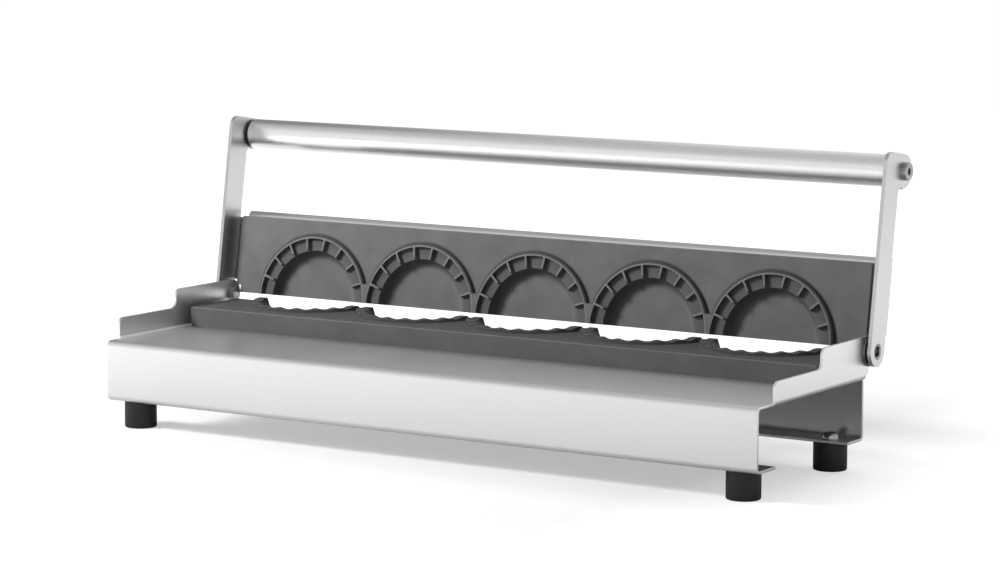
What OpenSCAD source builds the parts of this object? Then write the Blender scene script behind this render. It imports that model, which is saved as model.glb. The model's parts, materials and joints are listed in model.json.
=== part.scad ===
// Hinged ravioli press with five half-moon moulds.
// X runs along the press, Y from the front wall to the back, Z up. All sizes in millimetres.

/* [Body] */
// Length of the folded body
body_w = 596; // [560:1:640]
// Depth of the body over its front and rear walls
body_depth = 171; // [165:0.5:185]
// Height of the folded body without its feet
body_h = 49; // [40:0.5:70]
// Thickness of the body's steel sheet
sheet_t = 2; // [1.5:0.1:2.5]
// Outer radius of the folds along the front and rear walls
fold_r = 4.5; // [3.5:0.1:6]
// Depth of the flange under the front wall
front_flange = 28.5; // [27:0.5:34]
// Depth of the flange under the rear wall
rear_flange = 26; // [25:0.5:32]
// Distance from the rear wall to the hinge axis
hinge_back = 0.8; // [0:0.1:4]

/* [Ears] */
// Outer radius of the fold between the tray and an ear
ear_fold_r = 4; // [3:0.1:5]
// Distance from the front wall to the front edge of an ear
ear_front = 19; // [12:0.5:30]
// Height of an ear's low front part above the tray
ear_low_h = 16.3; // [12:0.1:20]
// Distance from the step in an ear to the front of the lower mould
ear_step_lead = 9.8; // [6:0.1:14]
// Radius in the hollow of the step
ear_hollow_r = 6; // [2:0.1:7]
// Radius on the top of the step
ear_shoulder_r = 6; // [2:0.1:7]
// Radius on an ear's front top corner
ear_nose_r = 5; // [1:0.1:6]
// Radius on an ear's lower rear corner
ear_heel_r = 4; // [2:0.1:5]

/* [Feet] */
// Height of a rubber foot
foot_h = 22; // [15:0.5:40]
// Diameter of a rubber foot
foot_d = 26; // [20:0.5:30]
// Distance from the end of the body to a foot's centre
foot_inset = 20; // [16:0.5:60]
// Distance from the front wall to the front feet's centres
foot_front = 17.5; // [15:0.5:20]
// Distance from the rear wall to the rear feet's centres
foot_rear = 15; // [13:0.5:18]
// Diameter of the threaded insert in a foot
insert_d = 10; // [8:0.5:14]
// Length of the threaded insert in a foot
insert_h = 12; // [8:0.5:13]
// Depth of the hollow in the sole of a foot
sole_recess = 2; // [1:0.1:3]
// Diameter of the hollow in the sole of a foot
sole_d = 13; // [8:0.5:16]
// Bevel around the sole of a foot
sole_bevel = 1; // [0.5:0.1:2]

/* [Moulds] */
// Number of ravioli side by side
n_rings = 5; // [3:1:5]
// Distance between neighbouring ravioli
ring_pitch = 108.4; // [104:0.1:112]
// Radius of a filling hollow
hollow_r = 42; // [38:0.1:43]
// Lean of a hollow's wall, in degrees
hollow_draft = 20; // [10:1:25]
// Radius between a hollow's wall and its floor
hollow_fillet = 9; // [5:0.1:10]
// Depth of a hollow in the upper mould
upper_hollow_depth = 8; // [6:0.1:9]
// Depth of a hollow in the lower mould below its flat top
lower_hollow_depth = 9; // [6:0.1:12]
// Inner radius of the cutting ridge on the upper mould
ridge_in_r = 52; // [51:0.1:53]
// Width of the cutting ridge
ridge_w = 2.8; // [2:0.1:3.2]
// Height of the cutting ridge's edge and of the crimping ribs
relief_h = 3.4; // [2.5:0.1:4]
// Width of the ridge's flat edge
ridge_edge = 0.6; // [0.4:0.1:1]
// Fall of the ridge's back from its edge outward
ridge_fall = 1.1; // [0.5:0.1:1.8]
// Flare of the ridge's outer wall at its foot
ridge_flare = 0.6; // [0.3:0.1:1.2]
// Distance from the hinge axis to the end of the web between two rings
web_reach = 18; // [16:0.5:22]
// Angle between neighbouring crimping ribs
rib_step = 20; // [15:5:30]
// Width of a crimping rib
rib_w = 1.8; // [1.2:0.1:2.4]
// Width of a groove across the lower rim
groove_w = 12; // [9:0.1:13]
// Clearance between the lower rim's outer wall and the edge of the cutting ridge
rim_gap = 0.5; // [0.3:0.1:1.5]
// Lean of the lower rim's outer wall, in degrees
rim_lean = 40; // [20:1:45]
// Distance from the hinge axis to the end of the saddle between two lower rims
saddle_reach = 10; // [6:0.5:14]
// Distance from the hinge axis to the far edge of both moulds
mould_reach = 67; // [64:0.1:70]
// Thickness of the upper mould
upper_t = 11.4; // [11:0.1:16]
// Thickness of the lower mould up to its flat top
lower_t = 16.5; // [14:0.1:22]
// Distance of the upper mould's near edge from the hinge axis
upper_near = 1.7; // [1.5:0.1:3]
// Distance of the lower mould's near edge from the hinge axis
lower_near = 3.3; // [2.8:0.1:5]
// Distance of the upper mould's face behind the hinge axis
face_n = 2.2; // [1.5:0.1:3]
// Closed gap between the cutting ridge and the lower mould's flat top
knife_gap = 2.3; // [1:0.1:3]
// Closed gap between the lower rim and the upper mould
crimp_gap = 2.7; // [1.5:0.1:3.2]
// Gap between the crimping ribs and the grooves when closed
groove_gap = 0.6; // [0.4:0.1:1.5]
// Gap between the saddles and the webs when closed
saddle_gap = 0.4; // [0.3:0.1:1]
// Gap between an end of the upper mould and an ear
upper_end_gap = 1.8; // [1:0.1:3]
// Gap between an end of the lower mould and a hinge nut
lower_end_gap = 1.5; // [0.5:0.1:3]
// Radius on the upper mould's far corners
mould_corner_r = 3; // [1:0.1:5]

/* [Swing frame] */
// Thickness of the swing frame's steel sheet
frame_t = 3; // [2:0.1:4]
// Width of an arm
arm_w = 23; // [21:0.5:25]
// Outer radius of the swing frame's folds
frame_fold_r = 4.5; // [4.2:0.1:6]
// Distance that the back plate reaches above the moulds
plate_over = 5; // [4.6:0.1:8]
// Depth of the stiffening flange along the back plate's top
stiffener = 18; // [12:0.5:25]
// Distance from the outside of an arm to the end of the stiffening flange
stiffener_inset = 10.2; // [8:0.1:30]
// Height of the arm fold's lower end above the hinge axis
arm_fold_from = 12.5; // [9:0.1:16]
// Gap between the back plate and an ear as the lid swings
swing_gap = 1.8; // [1:0.1:3]
// Angle that the open lid leans back
lean = 9; // [5:1:20]

/* [Handle] */
// Outer diameter of the handle tube
tube_d = 25; // [20:0.5:30]
// Wall of the handle tube
tube_wall = 1.5; // [1:0.1:2.5]
// Distance of the handle from the hinge axis along an arm
handle_reach = 138.4; // [120:0.1:150]
// Distance of the handle behind the hinge axis
handle_back = 19.5; // [15:0.1:24]
// Margin of an arm's round head around the tube
head_margin = 0.5; // [0:0.1:3]
// Radius on the front corner of an arm's head
head_corner_r = 9; // [4:0.1:11]
// Radius of the neck under an arm's head
neck_r = 5; // [3:0.1:8]
// Thickness of the plug's collar between tube and arm
collar_t = 2.5; // [1.5:0.1:4]
// Diameter of the plug's collar
collar_d = 23; // [22.2:0.1:24.5]
// Length of a plug inside the tube
plug_len = 22; // [18:0.5:40]

/* [Fasteners] */
// Diameter of the hinge pin in an arm
pin_d = 12; // [10:0.5:14]
// Width across the flats of the hinge pin's socket
pin_socket = 8; // [5:0.5:8]
// Depth of the hinge pin's socket
pin_socket_depth = 4; // [2:0.1:5]
// Diameter of the hinge pin's threaded end
pin_thread_d = 6; // [5:0.5:7]
// Width across the flats of a hinge nut
nut_w = 10; // [10:0.5:11]
// Height of a hinge nut
nut_h = 5; // [4:0.1:6]
// Diameter of the washer beside an ear
ear_washer_d = 23.4; // [18:0.1:23.6]
// Diameter of the washer beside an arm
arm_washer_d = 19.6; // [18:0.1:23.6]
// Thickness of a hinge washer
washer_t = 2.15; // [1:0.05:3]
// Diameter of the handle screws' shanks
handle_screw_d = 8; // [6:0.5:10]
// Diameter of the handle screws' heads
handle_head_d = 14; // [12:0.5:16]
// Height of the handle screws' heads
handle_head_h = 4.4; // [3.5:0.1:6]
// Width across the flats of the handle screws' sockets
handle_socket = 5; // [3:0.5:6]
// Diameter of the small screws' shanks
screw_d = 5; // [4:0.5:6]
// Diameter of the small screws' heads
screw_head_d = 9.5; // [8.5:0.5:12]
// Height of the small screws' heads
screw_head_h = 2.8; // [2:0.1:3.5]
// Width across the flats of the small screws' sockets
screw_socket = 3; // [2:0.5:4]
// Diameter of the foot screws' heads
foot_head_d = 13; // [12:0.5:14]
// Height of the foot screws' heads
foot_head_h = 5; // [2.5:0.1:5]
// Depth of the mould screws' threads in the moulds
mould_thread = 7.5; // [5:0.1:8]
// Distance of the mould screws from the far edge of both moulds
mould_screw_margin = 9; // [7:0.1:11]

/* [Hidden] */
$fn = 64;

// Running clearance between a shaft and its hole, on the radius.
fit = 0.05;
// Clearance of a screw in a drilled sheet, on the radius.
drill = 0.25;
// Running clearance between flat faces that turn on each other.
face_gap = 0.03;
// Overshoot of a cutting shape past the face it cuts.
eps = 1;
// Overlap of shapes that are one piece.
lap = 0.01;
// Room under the tip of a screw.
tip_room = 1;
// Room around a hinge nut in the upper mould.
nut_room = 2;
// Height of the relief cut at the upper end of an arm's fold.
relief_cut = 1;
// Share of a screw head's height below its bevel, and below the floor of its socket.
head_edge = 0.35;
head_floor = 0.4;

// Heights and places of the body.
tray_top = foot_h + body_h;
tray_under = tray_top - sheet_t;
half_w = body_w / 2;
ear_out = half_w + ear_fold_r;
ear_in = ear_out - sheet_t;

// The hinge axis, from the moulds that meet in the closed press.
hinge_y = body_depth - hinge_back;
flat_z = tray_top + lower_t;
hinge_z = flat_z + knife_gap + relief_h - face_n;
rim_h = knife_gap + relief_h - crimp_gap;

// The swing frame in the lid's own frame: X, rearward distance n, height s.
plate_n = face_n + upper_t;
lobe_r = plate_n - swing_gap;
arm_in = ear_out + 2 * washer_t + 3 * face_gap;
arm_out = arm_in + frame_t;
plate_top = mould_reach + plate_over;
head_r = tube_d / 2 + head_margin;

// Moulds.
upper_half = ear_in - upper_end_gap;
lower_half = ear_in - nut_h - lower_end_gap;
mould_front = hinge_y - mould_reach;
rim_out_r = ridge_in_r - rim_gap;
rim_top_r = rim_out_r - (rim_h - knife_gap) * tan(rim_lean);
rim_foot_r = rim_out_r + knife_gap * tan(rim_lean);
ring_x = [for (i = [0 : n_rings - 1]) (i - (n_rings - 1) / 2) * ring_pitch];
web_x = [for (i = [0 : n_rings - 2]) (i - (n_rings - 2) / 2) * ring_pitch];
rib_angles = [for (a = [rib_step : rib_step : 180 - rib_step]) a];
mould_screw_x = [for (i = [0 : n_rings]) (i - n_rings / 2) * ring_pitch];
mould_screw_reach = mould_reach - mould_screw_margin;

// Feet.
foot_x = half_w - foot_inset;
foot_front_y = foot_front;
foot_rear_y = body_depth - foot_rear;
foot_screw_len = sheet_t + insert_h - tip_room;

// The part's middle in depth, from the front wall to the back of the arms' heads.
back_y = hinge_y + handle_reach * sin(lean) + handle_back * cos(lean) + head_r;
mid_y = back_y / 2;

// Placing.
module placed() {
    translate([0, -mid_y, 0])
        children();
}

module on_lid() {
    placed()
        translate([0, hinge_y, hinge_z])
            rotate([-lean, 0, 0])
                children();
}

// Turns a drawing in X and Z so that it is extruded along Y, from y0 to y1.
module along_y(y0, y1) {
    translate([0, y1, 0])
        rotate([90, 0, 0])
            linear_extrude(y1 - y0)
                children();
}

// Turns a drawing in Y and Z so that it is extruded along X, from x0 to x1.
module along_x(x0, x1) {
    translate([x0, 0, 0])
        rotate([90, 0, 90])
            linear_extrude(x1 - x0)
                children();
}

// A shaft or hole along X, from x0 to x1, at height z and depth y.
module rod_x(x0, x1, y, z, r) {
    translate([x0, y, z])
        rotate([0, 90, 0])
            cylinder(r = r, h = x1 - x0);
}

// Quarter of a round fold: centre, outer radius, thickness and the quarter's signs.
module fold_2d(c, r, t, sx, sy) {
    translate(c)
        intersection() {
            difference() {
                circle(r);
                circle(r - t);
            }
            translate([sx > 0 ? 0 : -r, sy > 0 ? 0 : -r])
                square(r);
        }
}

// Body.
module wall_profile(flange) {
    r = fold_r;
    square_from([0, foot_h + r], [sheet_t, tray_top - r]);
    fold_2d([r, tray_top - r], r, sheet_t, -1, 1);
    fold_2d([r, foot_h + r], r, sheet_t, -1, -1);
    square_from([r, foot_h], [flange, foot_h + sheet_t]);
}

module square_from(a, b) {
    translate(a)
        square([b[0] - a[0], b[1] - a[1]]);
}

module tray_profile() {
    wall_profile(front_flange);
    translate([body_depth, 0])
        mirror([1, 0])
            wall_profile(rear_flange);
    square_from([fold_r, tray_under], [body_depth - fold_r, tray_top]);
}

module ear_outline() {
    low_z = tray_top + ear_low_h;
    top_z = hinge_z + lobe_r;
    step_y = mould_front - ear_step_lead;
    root_z = tray_under + ear_fold_r;
    difference() {
        union() {
            square_from([ear_front, root_z], [hinge_y - lap, low_z]);
            square_from([step_y, low_z - lap], [hinge_y, top_z]);
            translate([hinge_y, hinge_z])
                circle(lobe_r);
            // The hollow of the step.
            difference() {
                square_from([step_y - ear_hollow_r, low_z - lap], [step_y + lap, low_z + ear_hollow_r]);
                translate([step_y - ear_hollow_r, low_z + ear_hollow_r])
                    circle(ear_hollow_r);
            }
        }
        corner_cut([step_y, top_z], ear_shoulder_r, 1, -1);
        corner_cut([ear_front, low_z], ear_nose_r, 1, -1);
        corner_cut([hinge_y, root_z], ear_heel_r, -1, 1);
        translate([hinge_y, hinge_z])
            circle(pin_thread_d / 2 + fit);
    }
}

// What a round corner takes away: the corner, its radius and the way into the piece.
module corner_cut(c, r, sx, sy) {
    difference() {
        translate([c[0] + (sx > 0 ? -eps : -r), c[1] + (sy > 0 ? -eps : -r)])
            square(r + eps);
        translate([c[0] + sx * r, c[1] + sy * r])
            circle(r);
    }
}

module ear() {
    fold_end = body_depth - fold_r;
    along_y(ear_front, fold_end)
        union() {
            fold_2d([half_w, tray_under + ear_fold_r], ear_fold_r, sheet_t, 1, -1);
            square_from([half_w - sheet_t, tray_under], [half_w, tray_top]);
        }
    along_x(ear_in, ear_out)
        ear_outline();
}

module base_tray() {
    placed()
        color("gainsboro")
            difference() {
                union() {
                    along_x(-half_w, half_w)
                        tray_profile();
                    ear();
                    mirror([1, 0, 0])
                        ear();
                }
                for (sx = [-1, 1], y = [foot_front_y, foot_rear_y])
                    translate([sx * foot_x, y, foot_h - eps])
                        cylinder(r = screw_d / 2 + drill, h = sheet_t + 2 * eps);
                for (x = mould_screw_x)
                    translate([x, hinge_y - mould_screw_reach, tray_under - eps])
                        cylinder(r = screw_d / 2 + drill, h = sheet_t + 2 * eps);
            }
}

// Moulds. Both are drawn with their rings lying flat, centred on the hinge axis at y = 0.
module hollow_cut(depth, above) {
    r = hollow_fillet;
    // The centre of the fillet, which touches the floor and the leaning wall.
    z = r - depth;
    x = hollow_r + z * tan(hollow_draft) - r / cos(hollow_draft);
    rotate_extrude(angle = 180) {
        polygon([
            [0, above],
            [0, -depth],
            [x, -depth],
            [x, z],
            [x + r * cos(hollow_draft), z - r * sin(hollow_draft)],
            [hollow_r + above * tan(hollow_draft), above]
        ]);
        translate([x, z])
            circle(r);
    }
}

module slab(near, far, half, z0, z1) {
    translate([-half, near, z0])
        cube([2 * half, far - near, z1 - z0]);
}

// Its edge is the inner one, and its back falls outward.
module ridge() {
    back_r = ridge_in_r + ridge_w;
    rotate_extrude(angle = 180)
        polygon([
            [ridge_in_r, -lap],
            [ridge_in_r, relief_h],
            [ridge_in_r + ridge_edge, relief_h],
            [back_r, relief_h - ridge_fall],
            [back_r + ridge_flare, 0],
            [back_r + ridge_flare, -lap]
        ]);
}

module ribs() {
    for (a = rib_angles)
        rotate([0, 0, a])
            translate([hollow_r - lap, -rib_w / 2, -lap])
                cube([ridge_in_r - hollow_r + 2 * lap, rib_w, relief_h + lap]);
}

// The flat web between two neighbouring ridges, as high as their edges.
module web() {
    w = ring_pitch / 2 - sqrt(ridge_in_r * ridge_in_r - web_reach * web_reach) + eps;
    difference() {
        along_x(-w, w)
            polygon([
                [0, -lap],
                [web_reach, -lap],
                [web_reach, 0],
                [web_reach - ridge_flare, relief_h],
                [0, relief_h]
            ]);
        for (sx = [-1, 1])
            translate([sx * ring_pitch / 2, 0, -eps])
                cylinder(r = ridge_in_r + ridge_edge / 2, h = relief_h + 2 * eps);
    }
}

module upper_body() {
    difference() {
        union() {
            slab(upper_near, mould_reach, upper_half, -upper_t, 0);
            for (x = ring_x)
                translate([x, 0, 0]) {
                    ridge();
                    ribs();
                }
            for (x = web_x)
                translate([x, 0, 0])
                    web();
        }
        slab(-eps, upper_near, upper_half + eps, -eps, relief_h + eps);
    }
}

// Room for a hinge nut at an end of the upper mould.
module nut_notch() {
    deep = nut_h + upper_end_gap;
    reach = nut_w / 2 / cos(30) + nut_room;
    translate([ear_in - deep, -reach, -upper_t - eps])
        cube([deep, 2 * reach, upper_t + relief_h + 2 * eps]);
}

module upper_corner_cut() {
    translate([0, 0, -upper_t - eps])
        linear_extrude(upper_t + 2 * eps)
            corner_cut([upper_half, mould_reach], mould_corner_r, -1, -1);
}

module upper_mould() {
    on_lid()
        color("dimgray")
            translate([0, face_n, 0])
                rotate([90, 0, 0])
                    difference() {
                        upper_body();
                        for (x = ring_x)
                            translate([x, 0, 0])
                                hollow_cut(upper_hollow_depth, relief_h + eps);
                        for (sx = [0, 1])
                            mirror([sx, 0, 0]) {
                                nut_notch();
                                upper_corner_cut();
                            }
                        for (x = mould_screw_x)
                            translate([x, mould_screw_reach, -upper_t - eps])
                                cylinder(r = screw_d / 2 + fit, h = mould_thread + eps + tip_room);
                    }
}

module rim() {
    difference() {
        rotate_extrude(angle = 180)
            polygon([
                [hollow_r - eps, -lap],
                [hollow_r - eps, rim_h],
                [rim_top_r, rim_h],
                [rim_foot_r, 0],
                [rim_foot_r, -lap]
            ]);
        for (a = rib_angles)
            rotate([0, 0, a])
                groove();
    }
}

// A groove of a round section with its lowest line under the closed rib.
module groove() {
    floor_z = knife_gap - groove_gap;
    deep = rim_h - floor_z;
    r = (groove_w * groove_w / 4 + deep * deep) / (2 * deep);
    translate([hollow_r - 2 * eps, 0, floor_z + r])
        rotate([0, 90, 0])
            cylinder(r = r, h = rim_foot_r - hollow_r + 4 * eps);
}

// The low saddle between two neighbouring rims, which ends where it meets their outer walls.
module saddle() {
    high = knife_gap - saddle_gap;
    w = ring_pitch / 2 - sqrt(rim_top_r * rim_top_r - saddle_reach * saddle_reach) + eps;
    along_x(-w, w)
        polygon([
            [0, -lap],
            [saddle_reach, -lap],
            [saddle_reach, 0],
            [saddle_reach - high, high],
            [0, high]
        ]);
}

module lower_body() {
    difference() {
        union() {
            slab(lower_near, mould_reach, lower_half, -lower_t, 0);
            for (x = ring_x)
                translate([x, 0, 0])
                    rim();
            for (x = web_x)
                translate([x, 0, 0])
                    saddle();
        }
        slab(-eps, lower_near, lower_half + eps, -eps, rim_h + eps);
    }
}

module lower_mould() {
    placed()
        color("dimgray")
            translate([0, hinge_y, flat_z])
                rotate([0, 0, 180])
                    difference() {
                        lower_body();
                        for (x = ring_x)
                            translate([x, 0, 0])
                                hollow_cut(lower_hollow_depth, rim_h + eps);
                        for (x = mould_screw_x)
                            translate([x, mould_screw_reach, -lower_t - eps])
                                cylinder(r = screw_d / 2 + fit, h = mould_thread + eps + tip_room);
                    }
}

// Swing frame, in the lid's own frame: Y is the distance n behind the hinge axis, Z the height s.
module arm_outline() {
    half = arm_w / 2;
    head_top = handle_reach + head_r;
    // The neck's circle touches the arm's rear edge and the head's circle from outside.
    neck_n = half + neck_r;
    neck_s = handle_reach - sqrt(pow(head_r + neck_r, 2) - pow(neck_n - handle_back, 2));
    difference() {
        union() {
            circle(half);
            square_from([-half, 0], [half, head_top]);
            square_from([0, handle_reach], [handle_back, head_top]);
            square_from([half - lap, neck_s], [handle_back, head_top]);
            translate([handle_back, handle_reach])
                circle(head_r);
        }
        translate([neck_n, neck_s])
            circle(neck_r);
        square_from([neck_n, neck_s - neck_r], [handle_back + head_r, neck_s + lap]);
        corner_cut([-half, head_top], head_corner_r, 1, -1);
        circle(pin_d / 2 + fit);
        translate([handle_back, handle_reach])
            circle(handle_screw_d / 2 + fit);
    }
}

// The fold from an arm into the back plate.
module arm_fold_profile() {
    r = frame_fold_r;
    rear = plate_n + frame_t;
    fold_2d([arm_out - r, rear - r], r, frame_t, 1, 1);
    square_from([arm_in, arm_w / 2 - lap], [arm_out, rear - r]);
}

module plate_profile() {
    r = frame_fold_r;
    rear = plate_n + frame_t;
    square_from([plate_n, upper_near], [rear, plate_top - r]);
}

module stiffener_profile() {
    r = frame_fold_r;
    square_from([plate_n, mould_reach - lap], [plate_n + frame_t, plate_top - r]);
    fold_2d([plate_n + r, plate_top - r], r, frame_t, -1, 1);
    square_from([plate_n + r, plate_top - frame_t], [plate_n + frame_t + stiffener, plate_top]);
}

module half_frame() {
    fold_x = arm_out - frame_fold_r;
    fold_to = mould_reach - relief_cut;
    along_x(arm_in, arm_out)
        arm_outline();
    translate([0, 0, arm_fold_from])
        linear_extrude(fold_to - arm_fold_from)
            arm_fold_profile();
    translate([0, plate_n, arm_fold_from])
        cube([fold_x, frame_t, fold_to - arm_fold_from]);
    translate([0, plate_n, upper_near])
        cube([ear_in - upper_end_gap, frame_t, mould_reach - upper_near]);
    along_x(0, arm_out - stiffener_inset)
        stiffener_profile();
}

module swing_frame() {
    on_lid()
        color("silver")
            difference() {
                union() {
                    half_frame();
                    mirror([1, 0, 0])
                        half_frame();
                }
                for (x = mould_screw_x)
                    translate([x, plate_n - eps, mould_screw_reach])
                        rotate([-90, 0, 0])
                            cylinder(r = screw_d / 2 + drill, h = frame_t + 2 * eps);
            }
}

// Handle.
tube_half = arm_in - face_gap - collar_t;

module handle_tube() {
    on_lid()
        color("whitesmoke")
            difference() {
                rod_x(-tube_half, tube_half, handle_back, handle_reach, tube_d / 2);
                rod_x(-tube_half - eps, tube_half + eps, handle_back, handle_reach, tube_d / 2 - tube_wall);
            }
}

module handle_plug(side) {
    on_lid()
        color("black")
            mirror([side < 0 ? 1 : 0, 0, 0])
                difference() {
                    union() {
                        rod_x(tube_half, tube_half + collar_t, handle_back, handle_reach, collar_d / 2);
                        rod_x(tube_half - plug_len, tube_half + lap, handle_back, handle_reach,
                              tube_d / 2 - tube_wall - fit);
                    }
                    rod_x(tube_half - plug_len - eps, arm_in, handle_back, handle_reach,
                          handle_screw_d / 2 + fit);
                }
}

// A screw along Z with its head's underside at z = 0 and its shank below.
module socket_screw(d, len, head_d, head_h, socket) {
    edge = head_h * head_edge;
    difference() {
        union() {
            translate([0, 0, -len])
                cylinder(r = d / 2, h = len + lap);
            cylinder(r = head_d / 2, h = edge);
            translate([0, 0, edge])
                cylinder(r1 = head_d / 2, r2 = head_d / 2 - (head_h - edge), h = head_h - edge);
        }
        translate([0, 0, head_h * head_floor])
            cylinder(r = socket / 2 / cos(30), h = head_h, $fn = 6);
    }
}

module handle_screw(side) {
    on_lid()
        color("lightgray")
            mirror([side < 0 ? 1 : 0, 0, 0])
                translate([arm_out + face_gap, handle_back, handle_reach])
                    rotate([0, 90, 0])
                        socket_screw(handle_screw_d, frame_t + collar_t + plug_len - tip_room,
                                     handle_head_d, handle_head_h, handle_socket);
}

module upper_mould_screws() {
    on_lid()
        color("lightgray")
            for (x = mould_screw_x)
                translate([x, plate_n + frame_t + face_gap, mould_screw_reach])
                    rotate([-90, 0, 0])
                        socket_screw(screw_d, frame_t + mould_thread,
                                     screw_head_d, screw_head_h, screw_socket);
}

module lower_mould_screws() {
    placed()
        color("lightgray")
            for (x = mould_screw_x)
                translate([x, hinge_y - mould_screw_reach, tray_under - face_gap])
                    rotate([180, 0, 0])
                        socket_screw(screw_d, sheet_t + mould_thread,
                                     screw_head_d, screw_head_h, screw_socket);
}

// Feet.
module foot(side, y) {
    placed()
        color("black")
            translate([side * foot_x, y, 0])
                difference() {
                    union() {
                        translate([0, 0, sole_bevel])
                            cylinder(r = foot_d / 2, h = foot_h - sole_bevel);
                        cylinder(r1 = foot_d / 2 - sole_bevel, r2 = foot_d / 2, h = sole_bevel);
                    }
                    translate([0, 0, -eps])
                        cylinder(r = sole_d / 2, h = sole_recess + eps);
                    translate([0, 0, foot_h - insert_h])
                        cylinder(r = insert_d / 2 + fit, h = foot_h);
                }
}

module foot_insert(side, y) {
    placed()
        color("goldenrod")
            translate([side * foot_x, y, foot_h - insert_h + face_gap])
                difference() {
                    cylinder(r = insert_d / 2, h = insert_h - 2 * face_gap);
                    translate([0, 0, -eps])
                        cylinder(r = screw_d / 2 + fit, h = insert_h + 2 * eps);
                }
}

module foot_screw(side, y) {
    placed()
        color("lightgray")
            translate([side * foot_x, y, foot_h + sheet_t + face_gap])
                socket_screw(screw_d, foot_screw_len, foot_head_d, foot_head_h, screw_socket);
}

// Hinges. Each is drawn for the right-hand side and mirrored for the left.
module hinge_place(side) {
    placed()
        mirror([side < 0 ? 1 : 0, 0, 0])
            translate([0, hinge_y, hinge_z])
                children();
}

module hinge_pin(side) {
    color("lightgray")
        hinge_place(side)
            difference() {
                union() {
                    rod_x(ear_out + face_gap, arm_out, 0, 0, pin_d / 2);
                    rod_x(ear_in - nut_h, ear_out + 2 * face_gap, 0, 0, pin_thread_d / 2);
                }
                translate([arm_out - pin_socket_depth, 0, 0])
                    rotate([0, 90, 0])
                        cylinder(r = pin_socket / 2 / cos(30), h = pin_socket_depth + eps, $fn = 6);
            }
}

module hinge_nut(side) {
    color("lightgray")
        hinge_place(side)
            translate([ear_in - face_gap - nut_h, 0, 0])
                rotate([0, 90, 0])
                    difference() {
                        cylinder(r = nut_w / 2 / cos(30), h = nut_h, $fn = 6);
                        translate([0, 0, -eps])
                            cylinder(r = pin_thread_d / 2 + fit, h = nut_h + 2 * eps);
                    }
}

module washer(side, x, d) {
    color("gray")
        hinge_place(side)
            difference() {
                rod_x(x, x + washer_t, 0, 0, d / 2);
                rod_x(x - eps, x + washer_t + eps, 0, 0, pin_d / 2 + fit);
            }
}

module ear_washer(side) {
    washer(side, ear_out + face_gap, ear_washer_d);
}

module arm_washer(side) {
    washer(side, ear_out + washer_t + 2 * face_gap, arm_washer_d);
}

base_tray();
lower_mould();
lower_mould_screws();
foot(-1, foot_front_y);  // foot_front_left
foot(1, foot_front_y);  // foot_front_right
foot(-1, foot_rear_y);  // foot_rear_left
foot(1, foot_rear_y);  // foot_rear_right
foot_insert(-1, foot_front_y);  // foot_insert_front_left
foot_insert(1, foot_front_y);  // foot_insert_front_right
foot_insert(-1, foot_rear_y);  // foot_insert_rear_left
foot_insert(1, foot_rear_y);  // foot_insert_rear_right
foot_screw(-1, foot_front_y);  // foot_screw_front_left
foot_screw(1, foot_front_y);  // foot_screw_front_right
foot_screw(-1, foot_rear_y);  // foot_screw_rear_left
foot_screw(1, foot_rear_y);  // foot_screw_rear_right
hinge_pin(-1);  // hinge_pin_left
hinge_pin(1);  // hinge_pin_right
hinge_nut(-1);  // hinge_nut_left
hinge_nut(1);  // hinge_nut_right
ear_washer(-1);  // ear_washer_left
ear_washer(1);  // ear_washer_right
arm_washer(-1);  // arm_washer_left
arm_washer(1);  // arm_washer_right
swing_frame();
upper_mould();
upper_mould_screws();
handle_tube();
handle_plug(-1);  // handle_plug_left
handle_plug(1);  // handle_plug_right
handle_screw(-1);  // handle_screw_left
handle_screw(1);  // handle_screw_right
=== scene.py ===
"""Ravioli press with five half-moon moulds: its finishes, fine shapes, light and camera."""
import json
import math

import bmesh
import bpy
import numpy as np
from mathutils import Matrix, Vector


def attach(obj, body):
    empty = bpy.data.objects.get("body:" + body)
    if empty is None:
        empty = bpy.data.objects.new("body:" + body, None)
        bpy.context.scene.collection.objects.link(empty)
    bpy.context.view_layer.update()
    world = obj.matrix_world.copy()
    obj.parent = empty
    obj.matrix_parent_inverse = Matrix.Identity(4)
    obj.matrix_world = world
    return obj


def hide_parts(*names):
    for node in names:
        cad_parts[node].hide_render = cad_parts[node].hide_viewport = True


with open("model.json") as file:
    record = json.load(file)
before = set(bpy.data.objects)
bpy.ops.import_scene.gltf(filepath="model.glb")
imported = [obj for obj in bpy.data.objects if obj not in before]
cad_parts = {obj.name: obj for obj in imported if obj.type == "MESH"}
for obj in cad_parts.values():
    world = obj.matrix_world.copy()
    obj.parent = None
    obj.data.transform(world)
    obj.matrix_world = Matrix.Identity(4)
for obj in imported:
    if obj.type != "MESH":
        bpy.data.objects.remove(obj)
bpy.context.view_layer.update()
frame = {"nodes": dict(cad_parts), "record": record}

MM = 0.001

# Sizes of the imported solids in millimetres, most under the names that the part's source gives them.
HINGE_Y, HINGE_Z, LEAN = 58.145, 91.0, math.radians(9)
SHEET_T, FRAME_T, FACE_GAP = 2.0, 3.0, 0.03
EAR_IN, EAR_OUT, ARM_OUT = 300.0, 302.0, 309.39
FACE_N, UPPER_T, LOWER_T, FLAT_Z = 2.2, 11.4, 16.5, 87.5
UPPER_NEAR, LOWER_NEAR = 1.7, 3.3
UPPER_HALF, LOWER_HALF = 298.2, 293.5
MOULD_REACH, MOULD_CORNER_R = 67.0, 3.0
RING_PITCH, HOLLOW_R, HOLLOW_FILLET, HOLLOW_DRAFT = 108.4, 42.0, 9.0, math.radians(20)
RIDGE_IN_R, RIDGE_W, RELIEF_H = 52.0, 2.8, 3.4
RIDGE_EDGE, RIDGE_FALL, RIDGE_FLARE, WEB_REACH = 0.6, 1.1, 0.6, 18.0
RIM_OUT_R, RIM_H, RIM_LEAN, KNIFE_GAP = 51.5, 3.0, math.radians(40), 2.3
GROOVE_W, GROOVE_FLOOR = 12.0, 1.7
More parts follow.
